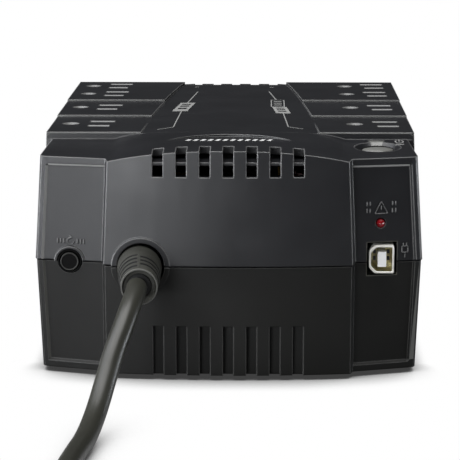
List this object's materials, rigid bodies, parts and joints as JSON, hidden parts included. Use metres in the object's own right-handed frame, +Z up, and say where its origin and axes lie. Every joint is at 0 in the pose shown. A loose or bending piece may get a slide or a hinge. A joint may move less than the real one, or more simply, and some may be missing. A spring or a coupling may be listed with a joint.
{
  "type": "uninterruptible power supply",
  "caption": "Slim desktop backup power supply: two-part vented housing, two outlet banks on top, cord end with USB port, fault lamp and reset button, mains lead and plug.",
  "frame": {"origin": "centre of the housing's footprint, on the surface that its feet stand on", "axes": "+Z up; +Y along the housing from the cord end to the far end; +X to the right seen from the cord end"},
  "size_m": [0.1707, 0.4996, 0.0892],
  "materials": {
    "upper_plastic": "fine satin grain",
    "lower_plastic": "fine matte grain",
    "black_plastic": "smooth matte",
    "black_rubber": "matte",
    "lamp_lens": "glossy, tinted",
    "ivory_plastic": "smooth",
    "circuit_board": "satin solder mask",
    "copper_winding": "varnished enamelled wire under tape",
    "battery_case": "moulded",
    "lead_red": "satin",
    "lead_black": "satin",
    "film_yellow": "glossy",
    "relay_blue": "glossy",
    "steel": "plated",
    "laminations": "varnished stack",
    "aluminium": "bare extrusion",
    "brass": "stamped strip"
  },
  "bodies": {
    "housing": {"upper_shell": "upper_plastic", "lower_shell": "lower_plastic", "foot_1": "black_rubber", "foot_2": "black_rubber", "foot_3": "black_rubber", "foot_4": "black_rubber", "strain_relief": "black_rubber", "power_cord": "black_rubber", "power_cord_coil": "black_rubber", "power_cord_tail": "black_rubber", "plug_body": "black_rubber", "shell_screw_1": "steel", "shell_screw_2": "steel", "shell_screw_3": "steel", "shell_screw_4": "steel", "board_screw_near": "steel", "board_screw_far": "steel", "usb_shell": "steel", "transformer_bracket": "steel", "power_switch": "black_plastic", "breaker_collar": "black_plastic", "breaker_body": "black_plastic", "usb_tongue": "ivory_plastic", "receptacle_carrier_left": "ivory_plastic", "receptacle_carrier_right": "ivory_plastic", "fault_lamp": "lamp_lens", "main_board": "circuit_board", "port_board": "circuit_board", "heatsink": "aluminium", "relay_near": "relay_blue", "relay_far": "relay_blue", "filter_capacitor_near": "film_yellow", "filter_capacitor_far": "film_yellow", "transformer_core": "laminations", "transformer_winding": "copper_winding", "battery": "battery_case", "battery_tab_positive": "brass", "battery_tab_negative": "brass", "ground_bus_bar_left": "brass", "neutral_bus_bar_left": "brass", "line_bus_bar_left": "brass", "ground_bus_bar_right": "brass", "neutral_bus_bar_right": "brass", "line_bus_bar_right": "brass", "plug_blade_line": "brass", "plug_blade_neutral": "brass", "plug_ground_pin": "brass", "battery_lead_positive": "lead_red", "battery_lead_negative": "lead_black"},
    "power_button": {"power_button": "black_plastic", "power_switch_plunger": "ivory_plastic"},
    "breaker_button": {"breaker_button": "black_plastic"},
    "battery_door": {"battery_door": "lower_plastic"}
  },
  "joints": [
    {"name": "power_button_press", "type": "slide", "parent": "housing", "child": "power_button", "axis": [0, 0, -1], "range_m": [0, 0.0012], "stiffness_N_per_m": 400, "springref_m": -0.001},
    {"name": "breaker_button_trip", "type": "slide", "parent": "housing", "child": "breaker_button", "axis": [0, -1, 0], "range_m": [0, 0.003]},
    {"name": "battery_door_slide", "type": "slide", "parent": "housing", "child": "battery_door", "axis": [0, -1, 0], "range_m": [0, 0.01]}
  ]
}
